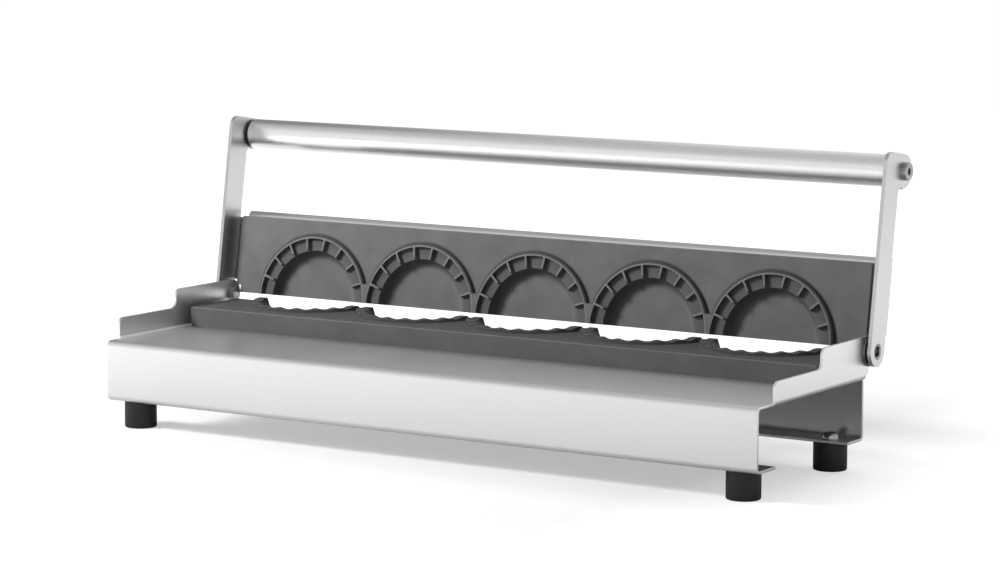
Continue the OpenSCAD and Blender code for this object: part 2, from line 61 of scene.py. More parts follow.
SADDLE_H, SADDLE_REACH = 1.9, 10.0
UPPER_HOLLOW, LOWER_HOLLOW = 8.0, 9.0
NUT_NOTCH_X, NUT_NOTCH_REACH = 293.2, 7.7735
HANDLE_REACH, HANDLE_BACK = 138.4, 19.5
TUBE_HALF, TUBE_R, TUBE_WALL = 303.86, 12.5, 1.5
COLLAR_D, COLLAR_T = 23.0, 2.5
PLUG_R, PLUG_BORE_R, PLUG_LEN = 10.95, 4.05, 22.0
PIN_D, PIN_THREAD_D, PIN_SOCKET, PIN_SOCKET_DEPTH = 12.0, 6.0, 8.0, 4.0
NUT_W, NUT_H, NUT_BORE = 10.0, 5.0, 6.1
EAR_WASHER_D, ARM_WASHER_D, WASHER_T, WASHER_BORE = 23.4, 19.6, 2.15, 12.1
FOOT_D, FOOT_H, SOLE_D, SOLE_RECESS = 26.0, 22.0, 13.0, 2.0
INSERT_HOLE_R, INSERT_FLOOR = 5.05, 10.0
MOULD_THREAD, SCREW_REACH = 7.5, 58.0

# The frame's origin lies MID_Y behind the front wall.
MID_Y = 112.055
FOOT_X, FOOT_FRONT, FOOT_REAR = 278.0, 17.5 - MID_Y, 156.0 - MID_Y
RING_X = [(i - 2) * RING_PITCH for i in range(5)]
SCREW_X = [(i - 2.5) * RING_PITCH for i in range(6)]
RIB_ANGLES = np.arange(20, 180, 20)
SIDES = ((-1, "left"), (1, "right"))

# Screws: shank, length, head, hexagon across its flats, and the rounding of the head's edge. A mould
# screw is as long as its thread in the mould and the sheet that it goes through.
HANDLE_SCREW = {"d": 8, "length": 26.5, "head_d": 14, "head_h": 4.4, "across": 5, "round_r": 0.9}
FOOT_SCREW = {"d": 5, "length": 13, "head_d": 13, "head_h": 5, "across": 3, "round_r": 4.2}
MOULD_SCREW = {"d": 5, "head_d": 9.5, "head_h": 2.8, "across": 3, "round_r": 1.3}


# Node tools.
class Graph:
    """A material's, a group's or the world's nodes, with short calls to add and join them."""

    def __init__(self, tree):
        self.tree = tree
        tree.nodes.clear()

    def add(self, kind, **values):
        node = self.tree.nodes.new(kind)
        for name, value in values.items():
            setattr(node, name, value)
        return node

    def join(self, source, target):
        self.tree.links.new(source, target)

    def put(self, target, value):
        """Sets an input, or joins it to another node's output."""
        if isinstance(value, bpy.types.NodeSocket):
            self.join(value, target)
        else:
            target.default_value = value

    def math(self, operation, a, b=0.0):
        node = self.add("ShaderNodeMath", operation=operation)
        self.put(node.inputs[0], a)
        self.put(node.inputs[1], b)
        return node.outputs[0]

    def times(self, value, *others):
        """The product of several values."""
        for other in others:
            value = self.math("MULTIPLY", value, other)
        return value

    def rest(self, value):
        """1 less the value."""
        return self.math("SUBTRACT", 1.0, value)

    def ramp(self, value, low, high, to_low=0.0, to_high=1.0):
        """Carries value from the span low to high over to the span to_low to to_high."""
        node = self.add("ShaderNodeMapRange", clamp=True)
        for name, entry in (("Value", value), ("From Min", low), ("From Max", high),
                            ("To Min", to_low), ("To Max", to_high)):
            self.put(node.inputs[name], entry)
        return node.outputs["Result"]

    def blend(self, share, a, b):
        """Colour a, changed to b by share."""
        node = self.add("ShaderNodeMix", data_type="RGBA")
        self.put(node.inputs["Factor"], share)
        self.put(node.inputs[6], a)
        self.put(node.inputs[7], b)
        return node.outputs[2]

    def noise(self, place, scale, detail, rough):
        """Cloudy noise, with about scale clouds to a metre of place."""
        node = self.add("ShaderNodeTexNoise")
        self.join(place, node.inputs["Vector"])
        for name, entry in (("Scale", scale), ("Detail", detail), ("Roughness", rough)):
            node.inputs[name].default_value = entry
        return node.outputs["Fac"]

    def bump(self, height, strength, distance, normal=None):
        node = self.add("ShaderNodeBump")
        node.inputs["Strength"].default_value = strength
        node.inputs["Distance"].default_value = distance
        self.join(height, node.inputs["Height"])
        if normal is not None:
            self.join(normal, node.inputs["Normal"])
        return node.outputs[0]


def new_group(name, inputs, outputs):
    """A shader node group: its inputs are (name, socket kind, default), its outputs (name, kind)."""
    tree = bpy.data.node_groups.new(name, "ShaderNodeTree")
    g = Graph(tree)
    for label, kind, value in inputs:
        socket = tree.interface.new_socket(name=label, in_out="INPUT", socket_type=kind)
        socket.default_value = value
    for label, kind in outputs:
        tree.interface.new_socket(name=label, in_out="OUTPUT", socket_type=kind)
    return g, g.add("NodeGroupInput"), g.add("NodeGroupOutput")


def use_group(g, group, **values):
    """Places a group in a material with its own values, named as the group's inputs are."""
    node = g.add("ShaderNodeGroup")
    node.node_tree = group
    for name, value in values.items():
        g.put(node.inputs[name], value)
    return node


def brushing_group():
    """Fine lines of a brushed finish along one axis, with wider, fainter bands of polish."""
    g, given, out = new_group(
        "brushing",
        [("Place", "NodeSocketVector", (0, 0, 0)), ("Along", "NodeSocketVector", (60, 1, 1))],
        [("Lines", "NodeSocketFloat"), ("Bands", "NodeSocketFloat")])
    spread = g.add("ShaderNodeVectorMath", operation="DIVIDE")
    g.join(given.outputs["Place"], spread.inputs[0])
    g.join(given.outputs["Along"], spread.inputs[1])
    fine = g.noise(spread.outputs[0], 2200, 3, 0.6)
    wide = g.noise(spread.outputs[0], 260, 2, 0.5)
    both = g.math("ADD", g.times(fine, 0.7), g.times(wide, 0.3))
    cloud = g.noise(given.outputs["Place"], 9, 2, 0.5)
    g.join(both, out.inputs["Lines"])
    g.join(cloud, out.inputs["Bands"])
    return g.tree


BRUSHING = brushing_group()


def grey(tone, cool=0.0):
    """A grey as a colour, with cool added to its blue."""
    return (tone, tone, tone + cool, 1)


def new_material(name):
    """A material, its graph, its Principled shader's inputs, and the place on the piece in metres."""
    material = bpy.data.materials.new(name)
    material.use_nodes = True
    g = Graph(material.node_tree)
    shader = g.add("ShaderNodeBsdfPrincipled")
    out = g.add("ShaderNodeOutputMaterial")
    g.join(shader.outputs[0], out.inputs["Surface"])
    place = g.add("ShaderNodeTexCoord").outputs["Object"]
    return material, g, shader.inputs, place


GRAIN_NUDGE = (0, 0.01, 0.002)
# How far the bent sheets' edges look rounded.
SHEET_EDGE = 0.0007


def across_grain(g, grain):
    """The direction in the surface at a right angle to the grain: its normal x the grain.

    A small nudge keeps it from vanishing where the surface faces along the grain."""
    turn = g.add("ShaderNodeVectorMath", operation="CROSS_PRODUCT")
    g.join(g.add("ShaderNodeNewGeometry").outputs["Normal"], turn.inputs[0])
    turn.inputs[1].default_value = grain
    nudge = g.add("ShaderNodeVectorMath", operation="ADD")
    g.join(turn.outputs[0], nudge.inputs[0])
    nudge.inputs[1].default_value = GRAIN_NUDGE
    return nudge.outputs[0]


def brushed_steel(name, along, tone, rough=(0.33, 0.35), pull=0.8):
    """Stainless steel brushed along one axis.

    along is the length of its grains on X, Y and Z, rough the span of its roughness, and pull how far
    the brushing draws out what it mirrors."""
    material, g, to, place = new_material(name)
    to["Metallic"].default_value = 1.0
    to["Anisotropic"].default_value = pull
    g.join(across_grain(g, [1 if length > 1 else 0 for length in along]), to["Tangent"])
    brush = use_group(g, BRUSHING, Place=place, Along=along)
    lines, bands = brush.outputs["Lines"], brush.outputs["Bands"]
    dark, light = grey(tone * 0.99, tone * 0.003), grey(tone * 1.01, tone * -0.003)
    g.join(g.blend(g.ramp(lines, 0.3, 0.7), dark, light), to["Base Color"])
    mixed = g.math("ADD", g.times(lines, 0.6), g.times(bands, 0.4))
    g.join(g.ramp(mixed, 0.3, 0.7, *rough), to["Roughness"])
    edge = g.add("ShaderNodeBevel", samples=4)
    edge.inputs["Radius"].default_value = SHEET_EDGE
    g.join(g.bump(lines, 0.003, 0.00005, edge.outputs[0]), to["Normal"])
    return material


def mesh_value(g, name):
    """A value that the mesh carries at its points."""
    return g.add("ShaderNodeAttribute", attribute_name=name).outputs["Fac"]


def mould_coating(name):
    """Dark non-stick coat on cast aluminium, finely grained, with painted highlights on the tops of ribs
    and painted shade in recesses.
    """
    material, g, to, place = new_material(name)
    to["Specular IOR Level"].default_value = 0.15
    grain = g.noise(place, 1500, 3, 0.6)
    cloud = g.noise(place, 45, 3, 0.55)
    speck = g.noise(place, 3800, 1, 0.5)
    tone = g.blend(g.ramp(cloud, 0.3, 0.7), grey(0.148, 0.001), grey(0.188))
    tone = g.blend(g.ramp(speck, 0.62, 0.74, 0.0, 0.35), tone, grey(0.24))
    # Painted shade: the coat darkens between the ribs, on hollow walls, outside the rings and on the lower
    # mould's top and front.
    tone = g.blend(mesh_value(g, "painted_shade"), tone, grey(0.055, 0.001))
    # Painted highlight: the coat lightens on the tops of ribs and ridge and on the lower mould's rounded
    # far edge.
    g.join(g.blend(mesh_value(g, "painted_highlight"), tone, grey(0.26)), to["Base Color"])
    g.join(g.ramp(grain, 0.25, 0.75, 0.36, 0.52), to["Roughness"])
    g.join(g.bump(grain, 0.25, 0.00008), to["Normal"])
    return material


def plain_steel(name, tone, rough):
    """Turned or stamped steel of small parts: faint cloudy wear and fine marks all ways."""
    material, g, to, place = new_material(name)
    to["Metallic"].default_value = 1.0
    cloud = g.noise(place, 300, 3, 0.6)
    mark = g.noise(place, 2600, 2, 0.6)
    g.join(g.blend(g.ramp(cloud, 0.3, 0.7), grey(tone * 0.85), grey(tone * 1.08)), to["Base Color"])
    g.join(g.ramp(mark, 0.3, 0.7, rough * 0.8, rough * 1.25), to["Roughness"])
    g.join(g.bump(mark, 0.05, 0.00005), to["Normal"])
    return material


def moulded_rubber(name):
    """Matt black rubber with a fine moulded grain and a trace of grey dust."""
    material, g, to, place = new_material(name)
    grain = g.noise(place, 900, 3, 0.6)
    dust = g.ramp(g.noise(place, 120, 3, 0.6), 0.45, 0.8, 0, 0.5)
    g.join(g.blend(dust, grey(0.010, 0.001), grey(0.026, 0.001)), to["Base Color"])
    g.join(g.ramp(grain, 0.3, 0.7, 0.50, 0.68), to["Roughness"])
    g.join(g.bump(grain, 0.2, 0.0001), to["Normal"])
    return material


def black_plastic(name):
    """Black moulded plastic with a faint, even grain."""
    material, g, to, place = new_material(name)
    grain = g.noise(place, 1400, 2, 0.6)
    g.join(g.blend(g.ramp(grain, 0.3, 0.7), grey(0.010, 0.001), grey(0.020, 0.001)), to["Base Color"])
    g.join(g.ramp(grain, 0.3, 0.7, 0.38, 0.5), to["Roughness"])
    g.join(g.bump(grain, 0.1, 0.00006), to["Normal"])
    return material


def insert_brass(name):
    """Machined brass, a little cloudy."""
    material, g, to, place = new_material(name)
    to["Metallic"].default_value = 1.0
    cloud = g.noise(place, 260, 3, 0.6)
    g.join(g.blend(g.ramp(cloud, 0.3, 0.7), (0.56, 0.38, 0.16, 1), (0.68, 0.48, 0.22, 1)), to["Base Color"])
    g.join(g.ramp(cloud, 0.3, 0.7, 0.26, 0.42), to["Roughness"])
    return material


FINISH = {
    "body_steel": brushed_steel("body_steel", (60, 1, 1), 0.81),
    "frame_steel": brushed_steel("frame_steel", (1, 1, 60), 0.61, rough=(0.31, 0.34), pull=0.3),
    "mould_coating": mould_coating("mould_coating"),
    "tube_steel": brushed_steel("tube_steel", (80, 1, 1), 0.86, rough=(0.26, 0.30)),
    "screw_steel": plain_steel("screw_steel", 0.36, 0.24),
    "washer_steel": plain_steel("washer_steel", 0.17, 0.30),
    "foot_rubber": moulded_rubber("foot_rubber"),
    "plug_plastic": black_plastic("plug_plastic"),
    "insert_brass": insert_brass("insert_brass"),
}


def finish_cad_nodes():
    """Gives each CAD node the finish of its material slot in the record."""
    for part in frame["record"]["subparts"]:
        node = frame["nodes"][part["node"]]
        node.data.materials.clear()
        node.data.materials.append(FINISH[part["material_slot"]])


# Surfaces worked out with numpy. All lengths inside them are in millimetres.
# Rows in a rounded corner and in a hollow's round foot, the radius of the row inside that foot, and the
# angle past which an edge stays sharp.
CORNER_ROWS, FOOT_ROWS, FLOOR_R = 5, 9, 26
SHARP_ANGLE = math.radians(35)


def smooth_max(a, b, k):
    """The larger of a and b, with a rounding k wide where they meet: max + (k - |a - b|)^2 / 4k."""
    return np.maximum(a, b) + np.maximum(k - np.abs(a - b), 0) ** 2 / (4 * k)


def smooth_min(a, b, k):
    """The smaller of a and b, rounded in the same way."""
    return -smooth_max(-a, -b, k)


def smooth_step(value, low, high):
    """0 below low, 1 above high, and 3t^2 - 2t^3 between them."""
    t = np.clip((value - low) / (high - low), 0, 1)
    return t * t * (3 - 2 * t)


def smooth_span(value, rise, fall):
    """1 between two spans, with smooth steps up over the span rise and down over the span fall."""
    return smooth_step(value, *rise) * (1 - smooth_step(value, *fall))


def rounded_rows(corners, reach):
    """Rows of a profile with rounded corners, for every column at once.

    corners is (corner, column, 2). A corner C becomes (1-u)^2 A + 2u(1-u) C + u^2 B, where A and B
    lie on its two legs, reach from C or half a leg where that is less."""
    rows = [corners[0]]
    for k in range(1, len(corners) - 1):
        c = corners[k]
        ends = []
        for leg in (corners[k - 1] - c, corners[k + 1] - c):
            length = np.linalg.norm(leg, axis=1, keepdims=True)
            ends.append(c + leg * np.minimum(reach[k], length / 2) / np.maximum(length, 1e-9))
        rows += [(1 - u) ** 2 * ends[0] + 2 * u * (1 - u) * c + u * u * ends[1]
                 for u in np.linspace(0, 1, CORNER_ROWS)]
    rows.append(corners[-1])
    return np.stack(rows)


def grid_faces(rows, columns, closed=False):
    """Quads between neighbouring rows and columns of a grid; closed joins its last column to its first."""
    i, j = np.meshgrid(np.arange(rows - 1), np.arange(columns if closed else columns - 1), indexing="ij")
    after = (j + 1) % columns
    quads = [i * columns + j, i * columns + after, (i + 1) * columns + after, (i + 1) * columns + j]
    return np.stack(quads, -1).reshape(-1, 4)


def joined(parts):
    """Several (points, faces) as one, the later ones' faces counted on."""
    starts = np.cumsum([0] + [len(points) for points, _ in parts[:-1]])
    return (np.concatenate([points for points, _ in parts]),
            np.concatenate([faces + start for (_, faces), start in zip(parts, starts)]))


def welded(points, faces):
    """Joins points that lie within a ten-thousandth of a millimetre and drops faces that collapse."""
    keys, index = np.unique(np.round(points, 4), axis=0, return_inverse=True)
    faces = index.reshape(-1)[faces]
    ordered = np.sort(faces, axis=1)
    return keys, faces[(np.diff(ordered, axis=1) > 0).sum(1) >= 2]


def open_edges(faces):
    """The directed edges that only one face uses."""
    edges = np.concatenate([faces[:, [k, (k + 1) % 4]] for k in range(4)])
    edges = edges[edges[:, 0] != edges[:, 1]]
    _, index, count = np.unique(np.sort(edges, axis=1), axis=0, return_inverse=True, return_counts=True)
    return edges[count[index.reshape(-1)] == 1]


def new_piece(name, points, faces, body, slot, nodes):
    """Puts a surface given in millimetres into a mesh in metres, closes it and fits it to the frame."""
    points, faces = welded(points, faces)
    mesh = bpy.data.meshes.new(name)
    loops = [list(dict.fromkeys(face)) for face in faces.tolist()]
    mesh.from_pydata((points * MM).tolist(), [], loops)
    piece = bpy.data.objects.new(name, mesh)
    bpy.context.scene.collection.objects.link(piece)
    work = bmesh.new()
    work.from_mesh(mesh)
    bmesh.ops.holes_fill(work, edges=[edge for edge in work.edges if edge.is_boundary], sides=0)
    bmesh.ops.recalc_face_normals(work, faces=work.faces)
    work.to_mesh(mesh)
    work.free()
    mesh.shade_smooth()
    mesh.set_sharp_from_angle(angle=SHARP_ANGLE)
    mesh.materials.append(FINISH[slot])
    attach(piece, body)
    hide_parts(*nodes)
    return piece


def on_lid(points):
    """From the lid's own X, n behind the hinge axis and s above it, to the frame."""
    x, n, s = points[:, 0], points[:, 1], points[:, 2]
    return np.stack([x, HINGE_Y + n * math.cos(LEAN) + s * math.sin(LEAN),
                     HINGE_Z - n * math.sin(LEAN) + s * math.cos(LEAN)], axis=1)


# Moulds. They are worked out lying flat: x along, y from the hinge axis outward, z up from the flat face.
# A grid's rows are radii from the middle of a ring: over the lower rim, and then from OUTER_R to the edge.
OUTER_R = 52.8
RIM_ROWS = (44.5, 46, 48, 49.7, 50.2, 50.6, 51, 51.4, 51.9, 52.4, OUTER_R)
UPPER_ZONE = (53.7, 54.4, 54.65, 54.8, 54.95, 55.15, 55.3, 55.45, 55.7, 56.3, 57.6, 59.4)
LOWER_ZONE = (53.1, 53.4, 53.7, 54.1, 54.8, 56.0, 57.6, 59.4)
# Its last rows and an end's last columns lie this far from the edge, which is rounded by EDGE_ROUND.
EDGE_STEPS = (1.2, 0.9, 0.6, 0.35, 0.15, 0.0)
CORNER_STEPS = (2.2, 1.5, 1.0, 0.75, 0.5, 0.3, 0.12, 0)
EDGE_ROUND = 1.0
# The first and the last ring's cells reach this far towards the ends.
END_CELL = 62.0
# Its columns lie this far from a rib's or a groove's middle line, at the ribs' middle radius,
RIB_MID_R = 47.0
RIB_STEPS = (0, 0.5, 0.68, 0.76, 0.84, 0.92, 1.0, 1.1, 1.7, 3.2, 5.2, 8.2)
GROOVE_STEPS = (0, 1.4, 2.8, 4.2, 5.2, 5.9, 6.6, 7.3, 8.2)
# and at these degrees from the hinge axis, the last ones where the saddles and the webs end.
NEAR_COLUMNS = (3.5, 5, 7, 11, 12.5)
SADDLE_COLUMNS = (8.0, 9.0, 10.0, 10.8)
WEB_COLUMNS = (17.0, 17.4, 17.8, 18.1, 18.4, 18.7, 19.0)
# Half a rib's width at its top and at its foot.
RIB_TOP, RIB_FOOT = 0.72, 1.04


def column_angles(steps):
    """Degrees from 0 to 180: at the given distances on both sides of each rib, and near the hinge."""
    offs = np.degrees(np.array(steps) / RIB_MID_R)
    few = np.array(NEAR_COLUMNS + SADDLE_COLUMNS + WEB_COLUMNS)
    angles = np.concatenate([(RIB_ANGLES[:, None] + offs).ravel(), (RIB_ANGLES[:, None] - offs).ravel(),
                             few, 180 - few])
    return np.unique(np.round(angles[(angles > 3) & (angles < 177)], 3))


def cell_angles(base, left, right):
    """A cell's columns: those of its ring, and those through the far corners and the nut notches."""
    fresh = [base]
    for side, flip in ((left, True), (right, False)):
        heights = MOULD_REACH - np.array(EDGE_STEPS)
        if side == END_CELL:
            heights = np.append(heights, [NUT_NOTCH_REACH, MOULD_REACH - MOULD_CORNER_R])
        angles = np.degrees(np.arctan2(heights, side))
        fresh.append(180 - angles if flip else angles)
    angles = np.unique(np.round(np.concatenate(fresh), 3))
    return np.radians(np.concatenate([[0], angles, [180]]))


def mould_cell(rows, zone, height, base, near, left, right):
    """One ring's part of a mould's face, out to x = -left and x = right and to the far edge.

    Its columns run outward from the ring's centre at fixed angles, kept on the near edge where they
    would pass it. rows(angle) gives the face out to OUTER_R, and height(x, y) what lies beyond."""
    angle = cell_angles(base, left, right)
    inner = rows(angle)
    side = np.where(angle < np.pi / 2, right, left)
    edge = np.minimum(side / np.maximum(np.abs(np.cos(angle)), 1e-9),
                      MOULD_REACH / np.maximum(np.sin(angle), 1e-9))
    edge[[0, -1]] = np.hypot(side[[0, -1]], near)
    last = edge * (1 - EDGE_STEPS[0] / MOULD_REACH)
    squeeze = np.minimum(0.9 * (last - OUTER_R) / (zone[-1] - OUTER_R), 1)
    outer = [OUTER_R + (r - OUTER_R) * squeeze for r in zone]
    outer += [outer[-1] + (last - outer[-1]) * share for share in (0.35, 0.7)]
    outer += [edge * (1 - drop / MOULD_REACH) for drop in EDGE_STEPS]
    r = np.concatenate([inner[..., 0], np.stack(outer)])
    lowest = np.arcsin(near / r)
    tilt = np.clip(np.broadcast_to(angle, r.shape), lowest, np.pi - lowest)
    x, y = r * np.cos(tilt), r * np.sin(tilt)
    z = height(x, y)
    z[:len(inner)] = inner[..., 1]
    x = np.concatenate([np.zeros_like(x[:1]), x])
    y = np.concatenate([np.full_like(y[:1], near), y])
    z = np.concatenate([z[:1], z])
    points = np.stack([x, y, z], -1)
    return points.reshape(-1, 3), grid_faces(*x.shape)


def end_patch(base, near, half, notch):
    """The flat end of a mould beyond its last ring: a grid whose far corner is bent to a round one.

    In the corner square, u and v from 0 to 1 go to R u sqrt(1 - v^2/2) and R v sqrt(1 - u^2/2)."""
    start, end = RING_X[-1] + END_CELL, half
    angle = cell_angles(base, END_CELL, END_CELL)
    ys = END_CELL * np.tan(angle[(angle > 0) & (angle < np.pi / 3)])
    ys = np.unique(np.round(np.clip(ys[ys <= MOULD_REACH + 1e-3], near, MOULD_REACH), 4))
    ys = np.unique(np.append(ys, near))
    inner = end - MOULD_CORNER_R
    first = np.linspace(start, NUT_NOTCH_X, 4) if notch else np.linspace(start, inner, 4)[:-1]
    xs = np.concatenate([first, [inner], end - np.array(CORNER_STEPS)])
    x, y = np.meshgrid(np.unique(np.round(xs, 4)), ys)
    faces = grid_faces(*x.shape)
    if notch:
        mid_x, mid_y = x.ravel()[faces].mean(1), y.ravel()[faces].mean(1)
        faces = faces[~((mid_x > NUT_NOTCH_X) & (mid_y < NUT_NOTCH_REACH))]
    r = MOULD_CORNER_R
    u = np.clip((x - inner) / r, 0, 1)
    v = np.clip((y - (MOULD_REACH - r)) / r, 0, 1)
    bent = (u > 0) & (v > 0)
    x = np.where(bent, inner + r * u * np.sqrt(1 - v * v / 2), x)
    y = np.where(bent, MOULD_REACH - r + r * v * np.sqrt(1 - u * u / 2), y)
    return np.stack([x, y, np.zeros_like(x)], -1).reshape(-1, 3), faces


def edge_rounded(points, half):
    """Lets a flat face fall off in a quarter circle along its far edge and its two ends."""
    x, y = np.abs(points[:, 0]), points[:, 1]
    r = MOULD_CORNER_R
    in_x, in_y = x - (half - r), y - (MOULD_REACH - r)
    straight = np.minimum(half - x, MOULD_REACH - y)
    from_edge = np.where((in_x > 0) & (in_y > 0), r - np.hypot(in_x, in_y), straight)
    away = np.clip(EDGE_ROUND - from_edge, 0, EDGE_ROUND)
    points[:, 2] -= EDGE_ROUND - np.sqrt(EDGE_ROUND ** 2 - away ** 2)
    return points


def mould_block(cells, end, half, thick):
    """A whole mould: its face from the cells and the two ends, and straight sides down to -thick."""
    points, faces = end
    mirrored = points * (-1, 1, 1), faces[:, ::-1]
    points, faces = welded(*joined(cells + [end, mirrored]))
    points = edge_rounded(points, half)
    rim = open_edges(faces)
    low = points.copy()
    low[:, 2] = -thick
    count = len(points)
    walls = np.stack([rim[:, 1], rim[:, 0], rim[:, 0] + count, rim[:, 1] + count], axis=1)
    used = np.unique(np.concatenate([faces.ravel(), walls.ravel()]))
    renamed = np.full(2 * count, -1)
    renamed[used] = np.arange(len(used))
    return np.concatenate([points, low])[used], renamed[np.concatenate([faces, walls])]


def near_rib(angle, r):
    """Distance at radius r from the middle line of the nearest rib or groove."""
    off = np.abs(np.degrees(angle)[..., None] - RIB_ANGLES).min(-1)
    return r * np.sin(np.radians(off))


def hollow_rows(depth, columns):
    """The hollow's floor and the round foot of its leaning wall, as in the solid, for every column."""
    r, lean = HOLLOW_FILLET, HOLLOW_DRAFT
    z = r - depth
    x = HOLLOW_R + z * math.tan(lean) - r / math.cos(lean)
    turn = np.radians(np.linspace(-90, -math.degrees(lean), FOOT_ROWS))
    rows = np.stack([x + r * np.cos(turn), z + r * np.sin(turn)], -1)
    rows = np.concatenate([[(FLOOR_R, -depth)], rows])
    return np.broadcast_to(rows[:, None], (len(rows), columns, 2))


def stacked(legs):
    """Legs as rows of a grid; each leg is a radius and a height for every column."""
    return np.stack([np.stack([r + 0 * z, z], -1) for r, z in legs])


def face_rows(depth, legs, reach):
    """The hollow, then the legs beyond its wall with their corners rounded."""
    hollow = hollow_rows(depth, len(legs[0][1]))
    corners = np.concatenate([hollow[-1:], stacked(legs)])
    return np.concatenate([hollow[:-1], rounded_rows(corners, reach)])


def upper_rows(angle):
    """From the hollow's floor up its wall, over the pads or a rib, and onto the ridge's edge."""
    h = RELIEF_H * (1 - smooth_step(near_rib(angle, RIB_MID_R), RIB_TOP, RIB_FOOT))
    top = RELIEF_H + 0 * h
    legs = [(HOLLOW_R + h * math.tan(HOLLOW_DRAFT), h), (RIDGE_IN_R, h), (RIDGE_IN_R + 0.1, top),
            (OUTER_R, top - 0.1)]
    return face_rows(UPPER_HOLLOW, legs, (0, 0.5, 0.35, 0.3))


def ridge_height(r):
    """The ridge's back and outer wall: the lowest of its edge, its falling back and its steep wall."""
    fall = RIDGE_FALL / (RIDGE_W - RIDGE_EDGE)
    wall = (RELIEF_H - RIDGE_FALL) / RIDGE_FLARE
    back = smooth_min(RELIEF_H + 0 * r, RELIEF_H - fall * (r - RIDGE_IN_R - RIDGE_EDGE), 0.2)
    return smooth_min(back, wall * (RIDGE_IN_R + RIDGE_W + RIDGE_FLARE - r), 0.5)


def upper_height(side_left, side_right):
    """The ridge, its neighbours' and the flat webs between them, above the flat face."""
    def height(x, y):
        z = ridge_height(np.hypot(x, y))
        for near_by, way in ((side_left, -1), (side_right, 1)):
            if near_by:
                z = smooth_max(z, ridge_height(np.hypot(x - way * RING_PITCH, y)), 0.3)
                web = smooth_min(RELIEF_H + 0 * y, (WEB_REACH - y) * RELIEF_H / RIDGE_FLARE, 0.4)
                z = np.where(x * way > 0, np.maximum(z, web), z)
        return smooth_max(z, 0 * x, 0.4)
    return height


def rim_height(angle, r):
    """The lower rim: its top, or a groove's round floor, under its leaning outer wall."""
    deep = RIM_H - GROOVE_FLOOR
    round_r = (GROOVE_W ** 2 / 4 + deep ** 2) / (2 * deep)
    off = np.minimum(near_rib(angle, r), round_r)
    top = smooth_min(RIM_H + 0 * off, GROOVE_FLOOR + round_r - np.sqrt(round_r ** 2 - off ** 2), 0.6)
    wall = KNIFE_GAP - (r - RIM_OUT_R) / math.tan(RIM_LEAN)
    return smooth_max(smooth_min(top, wall, 0.7), 0 * top, 0.3)


def lower_rows(angle):
    """From the hollow's floor up its wall and over the grooved rim."""
    lip = rim_height(angle, HOLLOW_R)
    legs = [(HOLLOW_R + lip * math.tan(HOLLOW_DRAFT), lip), (RIM_ROWS[0], rim_height(angle, RIM_ROWS[0]))]
    rim = stacked([(r, rim_height(angle, r)) for r in RIM_ROWS[1:]])
    return np.concatenate([face_rows(LOWER_HOLLOW, legs, (0, 0.8)), rim])


def lower_height(side_left, side_right):
    """The rims' outer walls and the low saddles between them, above the flat top."""
    def height(x, y):
        z = rim_height(np.arctan2(y, x), np.hypot(x, y))
        for near_by, way in ((side_left, -1), (side_right, 1)):
            if near_by:
                other = x - way * RING_PITCH
                z = np.maximum(z, rim_height(np.arctan2(y, other), np.hypot(other, y)))
                saddle = smooth_min(SADDLE_H + 0 * y, SADDLE_REACH - y, 0.5)
                z = np.where(x * way > 0, smooth_max(z, saddle, 0.4), z)
        return z
    return height


def mould_parts(upper):
    """What differs between the moulds: how each face is worked out, and its near edge, half length
    and thickness."""
    if upper:
        shape = (upper_rows, UPPER_ZONE, upper_height, column_angles(RIB_STEPS))
        return shape + (UPPER_NEAR, UPPER_HALF, UPPER_T)
    shape = (lower_rows, LOWER_ZONE, lower_height, column_angles(GROOVE_STEPS))
    return shape + (LOWER_NEAR, LOWER_HALF, LOWER_T)


def make_mould(upper):
    """One mould's points and faces, lying flat."""
    rows, zone, height, base, near, half, thick = mould_parts(upper)
    cells, last = [], len(RING_X) - 1
    for k, ring in enumerate(RING_X):
        left = RING_PITCH / 2 if k > 0 else END_CELL
        right = RING_PITCH / 2 if k < last else END_CELL
        points, faces = mould_cell(rows, zone, height(k > 0, k < last), base, near, left, right)
        cells.append((points + (ring, 0, 0), faces))
    return mould_block(cells, end_patch(base, near, half, upper), half, thick)


# The coat's painted light, as shares. A painted highlight lies on the tops of ribs and ridge
# (painted_highlight) and on the rounded far edge (edge). Painted shade lies between the ribs
# (painted_shade), on the hollow's wall (wall), just outside the ring (back, between two radii), on the side
# at the far edge (side) and on the flat face (flat).
UPPER_PAINTED_LIGHT = {"painted_highlight": 0.75, "edge": 0.0, "painted_shade": 0.6, "wall": 0.6, "back": 0.8,
              "back_span": (RIDGE_IN_R + 0.9, RIDGE_IN_R + 4.8), "side": 0.0, "flat": 0.0}
LOWER_PAINTED_LIGHT = {"painted_highlight": 0.1, "edge": 0.45, "painted_shade": 0.6, "wall": 0.8, "back": 1.0,
              "back_span": (50.4, 54.0), "side": 0.5, "flat": 0.72}


